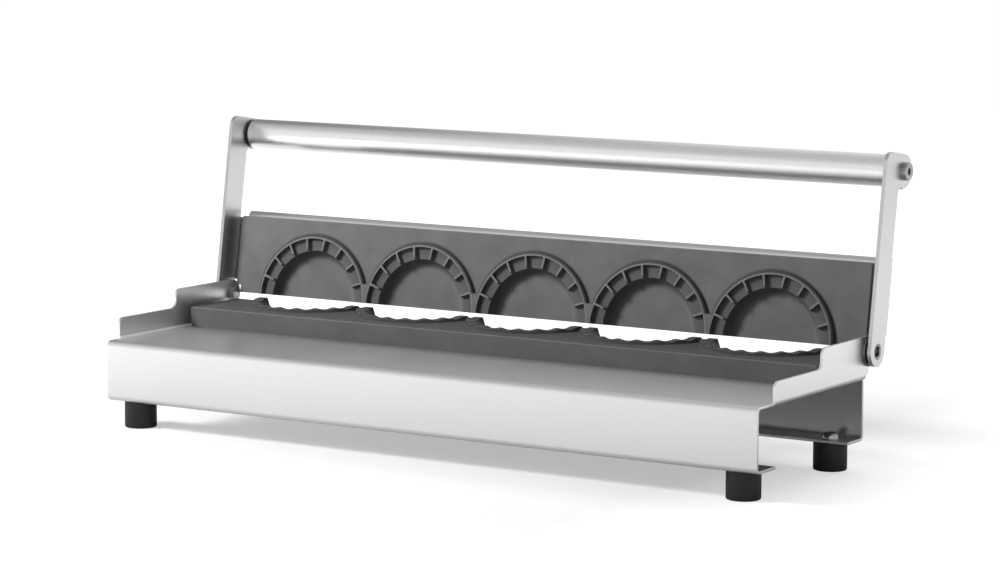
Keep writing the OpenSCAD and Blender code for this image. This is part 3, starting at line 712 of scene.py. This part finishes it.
def mark_painted_light(piece, flat_of, top, painted_shares):
    """Writes the painted highlight, 1 where the coat is painted palest, and the painted shade, 1 where it
    is painted darkest, to the mesh's points.

    flat_of gives every point's x, its distance from the hinge axis and its height over the flat face.
    top is the relief's height, and r a point's distance from the middle of its ring."""
    mesh = piece.data
    points = np.empty(3 * len(mesh.vertices))
    mesh.vertices.foreach_get("co", points)
    x, y, z = flat_of(points.reshape(-1, 3) / MM)
    outermost = len(RING_X) // 2
    r = np.hypot(x - np.clip(np.round(x / RING_PITCH), -outermost, outermost) * RING_PITCH, y)
    from_edge = MOULD_REACH - y
    # Painted highlight on the tops of ribs and ridge.
    painted_highlight = painted_shares["painted_highlight"] * smooth_step(z, top - 0.4, top - 0.1)
    painted_highlight *= 1 - smooth_step(r, RIDGE_IN_R + 0.8, RIDGE_IN_R + 1.2)
    # Painted shade between the ribs, on the hollow's wall and just outside the ring.
    between = smooth_span(r, (HOLLOW_R + 0.1, HOLLOW_R + 0.9), (RIDGE_IN_R - 0.1, RIDGE_IN_R + 0.3))
    between *= 1 - smooth_step(z, 0.2, 1.2)
    wall = smooth_step(r, HOLLOW_R - 7, HOLLOW_R - 2) * (r < HOLLOW_R + 0.3) * (z < -0.1)
    painted_shade = np.where(wall > 0, painted_shares["wall"] * wall, painted_shares["painted_shade"] * between)
    back_from, back_to = painted_shares["back_span"]
    back = smooth_span(r, (back_from, back_from + 0.8), (back_to - 1, back_to))
    painted_shade = np.maximum(painted_shade, painted_shares["back"] * back * (painted_highlight == 0) * (z < top - 0.15))
    # Painted shade on the flat face and on the side at the far edge.
    painted_shade = np.where((z > -0.5) & (painted_shade < painted_shares["flat"]), painted_shares["flat"], painted_shade)
    painted_shade = np.where(from_edge < 0.05, painted_shares["side"], painted_shade)
    # Painted highlight along the rounded far edge.
    painted_highlight = np.where((from_edge > 0.1) & (from_edge < 0.7), painted_shares["edge"], painted_highlight)
    # The painted highlight and the painted shade go to the mesh as point attributes.
    for name, values in (("painted_highlight", painted_highlight), ("painted_shade", painted_shade)):
        mesh.attributes.new(name, "FLOAT", "POINT").data.foreach_set("value", values.astype(np.float32))


def upper_flat(points):
    """The upper mould's points back to lying flat."""
    y, z = points[:, 1] - HINGE_Y, points[:, 2] - HINGE_Z
    behind = y * math.cos(LEAN) - z * math.sin(LEAN)
    return points[:, 0], y * math.sin(LEAN) + z * math.cos(LEAN), FACE_N - behind


def lower_flat(points):
    """The lower mould's points back to lying flat."""
    return points[:, 0], HINGE_Y - points[:, 1], points[:, 2] - FLAT_Z


def make_moulds():
    """Both moulds, stood where they are and marked with their painted highlights and painted shade."""
    points, faces = make_mould(True)
    flat = np.stack([points[:, 0], FACE_N - points[:, 2], points[:, 1]], axis=1)
    cast = new_piece("upper_mould_cast", on_lid(flat), faces, "lid", "mould_coating", ["upper_mould"])
    mark_painted_light(cast, upper_flat, RELIEF_H, UPPER_PAINTED_LIGHT)
    points, faces = make_mould(False)
    turned_round = np.stack([-points[:, 0], HINGE_Y - points[:, 1], FLAT_Z + points[:, 2]], axis=1)
    cast = new_piece("lower_mould_cast", turned_round, faces, "base", "mould_coating", ["lower_mould"])
    mark_painted_light(cast, lower_flat, RIM_H, LOWER_PAINTED_LIGHT)


# Turned pieces.
def turned(rows, origin, axis, across=(0, 0, 1), count=48):
    """A closed turned shape: each row is a radius and a height along axis, and a row's radius may
    change round the axis, as a hexagon's does: r(a) = w / 2 / cos(a mod 60 - 30 degrees)."""
    angle = np.arange(count) * 2 * np.pi / count
    axis = np.array(axis, float) / np.linalg.norm(axis)
    u = np.cross(across, axis)
    u /= np.linalg.norm(u)
    v = np.cross(axis, u)
    radius = np.stack([np.broadcast_to(r(angle) if callable(r) else r, angle.shape) for r, _ in rows])
    height = np.stack([np.broadcast_to(h(angle) if callable(h) else h, angle.shape) for _, h in rows])
    points = (np.array(origin, float) + height[..., None] * axis
              + (radius * np.cos(angle))[..., None] * u + (radius * np.sin(angle))[..., None] * v)
    return points.reshape(-1, 3), grid_faces(len(rows), count, closed=True)


def hexagon(across):
    """A hexagon's radius at an angle, from its width across the flats."""
    return lambda a: across / 2 / np.cos((a + np.pi / 6) % (np.pi / 3) - np.pi / 6)


def mouth_radius(across, more):
    """The round mouth of a hexagon socket: its corners' radius and a little more."""
    return across / 2 / math.cos(math.pi / 6) + more


def arc_rows(centre, r, start, end, steps=5):
    """Rows on an arc, from one angle to another in degrees; 0 points outward and 90 along the axis."""
    angles = np.radians(np.linspace(start, end, steps))
    return [(centre[0] + r * math.cos(a), centre[1] + r * math.sin(a)) for a in angles]


def socket_rows(head_r, head_h, across, round_r):
    """A screw head from its underside, over its rounded edge, into its hexagon socket."""
    mouth = mouth_radius(across, 0.25)
    rows = [(head_r - 0.15, 0), (head_r, 0.15)]
    rows += arc_rows((head_r - round_r, head_h - round_r), round_r, 0, 90)
    rows += [(mouth + 0.1, head_h), (mouth, head_h - 0.1), (hexagon(across), head_h - 0.45),
             (hexagon(across), head_h * 0.45), (hexagon(across * 0.8), head_h * 0.4), (0, head_h * 0.35)]
    return rows


def screw_rows(d, length, head_d, head_h, across, round_r):
    """A whole screw along its axis: tip, shank and socket head, whose underside is at 0."""
    rows = [(0, -length), (d / 2 - 0.5, -length), (d / 2, 0.5 - length), (d / 2, 0)]
    return rows + socket_rows(head_d / 2, head_h, across, round_r)


def tube_rows():
    """The tube's wall as a closed profile, with small round edges at both ends."""
    edge = 0.35
    inner = TUBE_R - TUBE_WALL
    rows = arc_rows((TUBE_R - edge, TUBE_HALF - edge), edge, 0, 90)
    rows += arc_rows((inner + edge, TUBE_HALF - edge), edge, 90, 180)
    rows += [(r, -h) for r, h in rows[::-1]]
    return rows + rows[:1]


def plug_rows():
    """A plug outward from its inner end, with the collar that shows past the tube's end at 0."""
    bevel, soft, lip, seat = 0.4, 0.2, 0.3, 0.01
    collar = COLLAR_D / 2
    return [(PLUG_BORE_R, -PLUG_LEN), (PLUG_R - bevel, -PLUG_LEN), (PLUG_R, bevel - PLUG_LEN),
            (PLUG_R, seat), (collar - soft, seat), (collar, soft), (collar, COLLAR_T - lip),
            (collar - lip, COLLAR_T), (PLUG_BORE_R, COLLAR_T), (PLUG_BORE_R, -PLUG_LEN)]


def make_handle():
    """The tube, and at each end its plug and the screw from outside the arm."""
    points, faces = turned(tube_rows(), (0, HANDLE_BACK, HANDLE_REACH), (1, 0, 0), count=96)
    new_piece("handle_bar", on_lid(points), faces, "lid", "tube_steel", ["handle_tube"])
    for side, word in SIDES:
        place = (side * TUBE_HALF, HANDLE_BACK, HANDLE_REACH)
        points, faces = turned(plug_rows(), place, (side, 0, 0), count=64)
        new_piece("handle_collar_" + word, on_lid(points), faces, "lid", "plug_plastic",
                  ["handle_plug_" + word])
        place = (side * (ARM_OUT + FACE_GAP), HANDLE_BACK, HANDLE_REACH)
        points, faces = turned(screw_rows(**HANDLE_SCREW), place, (side, 0, 0))
        new_piece("handle_bolt_" + word, on_lid(points), faces, "lid", "screw_steel",
                  ["handle_screw_" + word])


def washer_rows(d):
    """A washer's closed profile, with softly rounded outer edges."""
    r, bore, edge = d / 2, WASHER_BORE / 2, 0.7
    rows = [(bore, 0)] + arc_rows((r - edge, edge), edge, -90, 0)
    rows += arc_rows((r - edge, WASHER_T - edge), edge, 0, 90)
    return rows + [(bore, WASHER_T), (bore, 0)]


def nut_rows(across, bore, high):
    """A hexagon nut along its axis, with its corners turned down to a cone at both ends."""
    crown = across / 2 * 0.96
    slope = math.tan(math.radians(30))
    hexa = hexagon(across)
    return [(bore / 2, high), (bore / 2 + 0.3, high), (crown, high),
            (hexa, lambda a: high - (hexa(a) - crown) * slope), (hexa, lambda a: (hexa(a) - crown) * slope),
            (crown, 0), (bore / 2 + 0.3, 0), (bore / 2, 0.3), (bore / 2, high)]


def pin_rows(long):
    """A hinge pin from its thread's tip, past its shoulder on the ear at 0, into its socket at long."""
    r, thread = PIN_D / 2, PIN_THREAD_D / 2
    tip = EAR_IN - NUT_H - EAR_OUT - FACE_GAP
    floor = long - PIN_SOCKET_DEPTH
    mouth = mouth_radius(PIN_SOCKET, 0.2)
    socket = hexagon(PIN_SOCKET)
    low, high, lip = 0.4, 0.5, 0.1
    return [(0, tip), (thread - low, tip), (thread, tip + 0.43), (thread, 0), (r - low, 0), (r, low),
            (r, long - high), (r - high, long), (mouth + lip, long), (mouth, long - lip),
            (socket, long - high), (socket, floor), (hexagon(PIN_SOCKET * 0.75), floor), (0, floor)]


def make_hinges():
    """Pin, nut and the two washers of each hinge, outward along X from the ear."""
    seat = EAR_OUT + FACE_GAP
    second = seat + WASHER_T + FACE_GAP
    inside = EAR_IN - FACE_GAP - NUT_H
    kinds = (("hinge_bolt_", "hinge_pin_", seat, pin_rows(ARM_OUT - seat), 48, "screw_steel"),
             ("hinge_hexnut_", "hinge_nut_", inside, nut_rows(NUT_W, NUT_BORE, NUT_H), 48, "screw_steel"),
             ("ear_disc_", "ear_washer_", seat, washer_rows(EAR_WASHER_D), 72, "washer_steel"),
             ("arm_disc_", "arm_washer_", second, washer_rows(ARM_WASHER_D), 72, "washer_steel"))
    for side, word in SIDES:
        for name, node, x, rows, count, slot in kinds:
            points, faces = turned(rows, (side * x, HINGE_Y, HINGE_Z), (side, 0, 0), count=count)
            new_piece(name + word, points, faces, "base", slot, [node + word])


def screw_row(rows, y, z, axis, across=(0, 0, 1)):
    """The same screw at every place along X where the moulds are held."""
    return joined([turned(rows, (x, y, z), axis, across) for x in SCREW_X])


def make_screws():
    """The two rows of screws that hold the moulds, seen from behind and from below."""
    rows = screw_rows(length=MOULD_THREAD + FRAME_T, **MOULD_SCREW)
    points, faces = screw_row(rows, FACE_N + UPPER_T + FRAME_T + FACE_GAP, SCREW_REACH, (0, 1, 0))
    new_piece("upper_screws", on_lid(points), faces, "lid", "screw_steel", ["upper_mould_screws"])
    rows = screw_rows(length=MOULD_THREAD + SHEET_T, **MOULD_SCREW)
    under = FLAT_Z - LOWER_T - SHEET_T - FACE_GAP
    points, faces = screw_row(rows, HINGE_Y - SCREW_REACH, under, (0, 0, -1), (0, 1, 0))
    new_piece("lower_screws", points, faces, "base", "screw_steel", ["lower_mould_screws"])


def foot_rows():
    """A foot from its hollow sole, over its softened edges, down into the hole of its insert."""
    r, sole = FOOT_D / 2, SOLE_D / 2
    low, high, bevel, lip = 1.3, 0.4, 0.6, 0.4
    rows = [(0, SOLE_RECESS), (sole - bevel, SOLE_RECESS), (sole, SOLE_RECESS - bevel), (sole, lip),
            (sole + lip, 0)]
    rows += arc_rows((r - low, low), low, -90, 0)
    rows += arc_rows((r - high, FOOT_H - high), high, 0, 90, 4)
    return rows + [(INSERT_HOLE_R, FOOT_H), (INSERT_HOLE_R, INSERT_FLOOR), (0, INSERT_FLOOR)]


def make_feet():
    """The four round rubber feet and the screws that hold them."""
    for word_y, y in (("front", FOOT_FRONT), ("rear", FOOT_REAR)):
        for side, word_x in SIDES:
            word = word_y + "_" + word_x
            x = side * FOOT_X
            points, faces = turned(foot_rows(), (x, y, 0), (0, 0, 1), (0, 1, 0), 64)
            new_piece("rubber_foot_" + word, points, faces, "base", "foot_rubber", ["foot_" + word])
            place = (x, y, FOOT_H + SHEET_T + FACE_GAP)
            points, faces = turned(screw_rows(**FOOT_SCREW), place, (0, 0, 1), (0, 1, 0))
            new_piece("foot_bolt_" + word, points, faces, "base", "screw_steel", ["foot_screw_" + word])


# Camera, light and floor, in metres.
LENS, SENSOR_W = 117.787, 36.0
CAMERA_PLACE = (1.380511, -2.156470, 0.458246)
# The picture's right, up and back.
CAMERA_RIGHT = (0.84346838, 0.53717122, 0.00285914)
CAMERA_UP = (-0.07160541, 0.10715689, 0.99166026)
CAMERA_BACK = (0.53238498, -0.8366388, 0.12884782)

# The lamps, with their power in watts, and the strength at which the room lights dull surfaces.
KEY_LAMP = {"place": (-1.1, -0.92, 0.98), "target": (0, 0, 0.14), "size": (0.42, 0.42), "power": 31.0}
TOP_LAMP = {"place": (0.1, 1.05, 1.75), "target": (0, 0, 0.1), "size": (1.9, 1.2), "power": 17.0}
AMBIENT = 0.12
# How much darker than white steel sees the room: in a low band in front, overhead, and far left.
DARK_FRONT, DARK_ABOVE, DARK_LEFT = 0.35, 0.45, 0.75

# The floor's half width and its paint, and half the size of the middle that the object stands on.
FLOOR_HALF, FLOOR_TONE = 30.0, 0.58
MIDDLE_HALF = (0.28, 0.09, 0)
# How far the floor is lifted towards white: near the object, far from it, and at the right, where the
# lift is painted light over the key lamp's shadow.
LIFT_NEAR, LIFT_FAR, PAINTED_LIGHT_RIGHT = 0.44, 0.5, 0.55


def make_camera():
    """The photograph's place and angle."""
    data = bpy.data.cameras.new("camera")
    camera = bpy.data.objects.new("camera", data)
    bpy.context.scene.collection.objects.link(camera)
    data.sensor_fit = "HORIZONTAL"
    data.sensor_width = SENSOR_W
    data.lens = LENS
    data.clip_start, data.clip_end = 0.1, 50.0
    turn = Matrix((CAMERA_RIGHT, CAMERA_UP, CAMERA_BACK)).transposed().to_4x4()
    camera.matrix_world = Matrix.Translation(CAMERA_PLACE) @ turn
    bpy.context.scene.camera = camera


def area_lamp(name, place, target, size, power):
    """A rectangular lamp that shines from place towards target and isn't mirrored in steel."""
    data = bpy.data.lights.new(name, "AREA")
    data.shape = "RECTANGLE"
    data.size, data.size_y = size
    data.energy = power
    lamp = bpy.data.objects.new(name, data)
    lamp.visible_glossy = False
    bpy.context.scene.collection.objects.link(lamp)
    turn = (Vector(place) - Vector(target)).to_track_quat("Z", "Y")
    lamp.matrix_world = Matrix.Translation(place) @ turn.to_matrix().to_4x4()


def seen_rays(g):
    """1 for what the camera sees straight, in a mirror or through glass, and 0 for the rest."""
    rays = g.add("ShaderNodeLightPath").outputs
    return g.math("MAXIMUM", rays["Is Camera Ray"],
                  g.math("MAXIMUM", rays["Is Glossy Ray"], rays["Is Transmission Ray"]))


def mirrored_room(g):
    """How bright steel sees the room each way: white, times 1 less each of its darker parts.

    x, y and z are the way that a ray goes, each from -1 to 1. The front is a band round the height
    0.1, the part above fades to the back, and the one at the left is only behind the object."""
    way = g.add("ShaderNodeSeparateXYZ")
    g.join(g.add("ShaderNodeTexCoord").outputs["Generated"], way.inputs[0])
    x, y, z = way.outputs
    off_level = g.math("ABSOLUTE", g.math("SUBTRACT", z, 0.1))
    band = g.ramp(off_level, 0.05, 0.13, 1.0, 0.0)
    front = g.times(g.ramp(y, -0.8, -0.3, 1.0, 0.0), band, DARK_FRONT)
    above = g.times(g.ramp(z, 0.42, 0.68, 0.0, DARK_ABOVE), g.ramp(y, 0.1, 0.6, 1.0, 0.3))
    left = g.times(g.ramp(x, -0.64, -0.42, DARK_LEFT, 0.0), g.ramp(y, 0.0, 0.3))
    return g.times(g.rest(above), g.rest(front), g.rest(left))


def make_light():
    """Two lamps in a room that is white to the camera, mirrored_room to steel, and AMBIENT to dull
    surfaces."""
    world = bpy.data.worlds.new("studio")
    bpy.context.scene.world = world
    world.use_nodes = True
    g = Graph(world.node_tree)
    direct = g.add("ShaderNodeLightPath").outputs["Is Camera Ray"]
    others = g.ramp(seen_rays(g), 0, 1, AMBIENT, mirrored_room(g))
    sky = g.add("ShaderNodeBackground")
    sky.inputs["Color"].default_value = grey(1)
    g.join(g.ramp(direct, 0, 1, others, 1.0), sky.inputs["Strength"])
    g.join(sky.outputs[0], g.add("ShaderNodeOutputWorld").inputs["Surface"])
    area_lamp("key", **KEY_LAMP)
    area_lamp("top", **TOP_LAMP)


def distance_beyond(g, place, half):
    """How far a place lies outside a box round the origin: the length of max(|place| - half, 0)."""
    for operation, value in (("ABSOLUTE", (0, 0, 0)), ("SUBTRACT", half), ("MAXIMUM", (0, 0, 0))):
        step = g.add("ShaderNodeVectorMath", operation=operation)
        g.join(place, step.inputs[0])
        step.inputs[1].default_value = value
        place = step.outputs[0]
    length = g.add("ShaderNodeVectorMath", operation="LENGTH")
    g.join(place, length.inputs[0])
    return length.outputs["Value"]


def floor_lift(g, place):
    """How far the floor is lifted where it is seen, and 0 for the light that falls on the object.

    near is a ramp away from the object, or its full value seen directly; far is a wider ramp away;
    right is a ramp towards the right, seen directly, painted light over the key lamp's shadow there;
    they are added up."""
    direct = g.add("ShaderNodeLightPath").outputs["Is Camera Ray"]
    away = distance_beyond(g, place, MIDDLE_HALF)
    near = g.math("MAXIMUM", g.ramp(away, 0.0, 0.3, 0.0, LIFT_NEAR), g.times(direct, LIFT_NEAR))
    far = g.ramp(away, 0.15, 0.8, 0.0, LIFT_FAR)
    axes = g.add("ShaderNodeSeparateXYZ")
    g.join(place, axes.inputs[0])
    # Painted light: lightens the floor at the right, where the key lamp's shadow falls.
    right = g.times(direct, g.ramp(axes.outputs[0], 0.21, 0.45, 0.0, PAINTED_LIGHT_RIGHT))
    return g.times(seen_rays(g), g.math("ADD", g.math("ADD", near, far), right))


def make_floor():
    """A pale floor, wide and flat, which is lifted to white and keeps the object's shadow, but for painted
    light at the right.
    """
    half = FLOOR_HALF
    mesh = bpy.data.meshes.new("floor")
    corners = [(-half, -half, 0), (half, -half, 0), (half, half, 0), (-half, half, 0)]
    mesh.from_pydata(corners, [], [(0, 1, 2, 3)])
    floor = bpy.data.objects.new("floor", mesh)
    bpy.context.scene.collection.objects.link(floor)
    material = bpy.data.materials.new("floor")
    material.use_nodes = True
    g = Graph(material.node_tree)
    paint = g.add("ShaderNodeBsdfDiffuse")
    paint.inputs["Color"].default_value = grey(FLOOR_TONE)
    glow = g.add("ShaderNodeEmission")
    g.join(floor_lift(g, g.add("ShaderNodeTexCoord").outputs["Object"]), glow.inputs["Strength"])
    both = g.add("ShaderNodeAddShader")
    g.join(paint.outputs[0], both.inputs[0])
    g.join(glow.outputs[0], both.inputs[1])
    g.join(both.outputs[0], g.add("ShaderNodeOutputMaterial").inputs["Surface"])
    mesh.materials.append(material)


make_camera()
make_light()
make_floor()
finish_cad_nodes()
make_moulds()
make_handle()
make_hinges()
make_screws()
make_feet()

bpy.context.scene.view_settings.view_transform = "Standard"
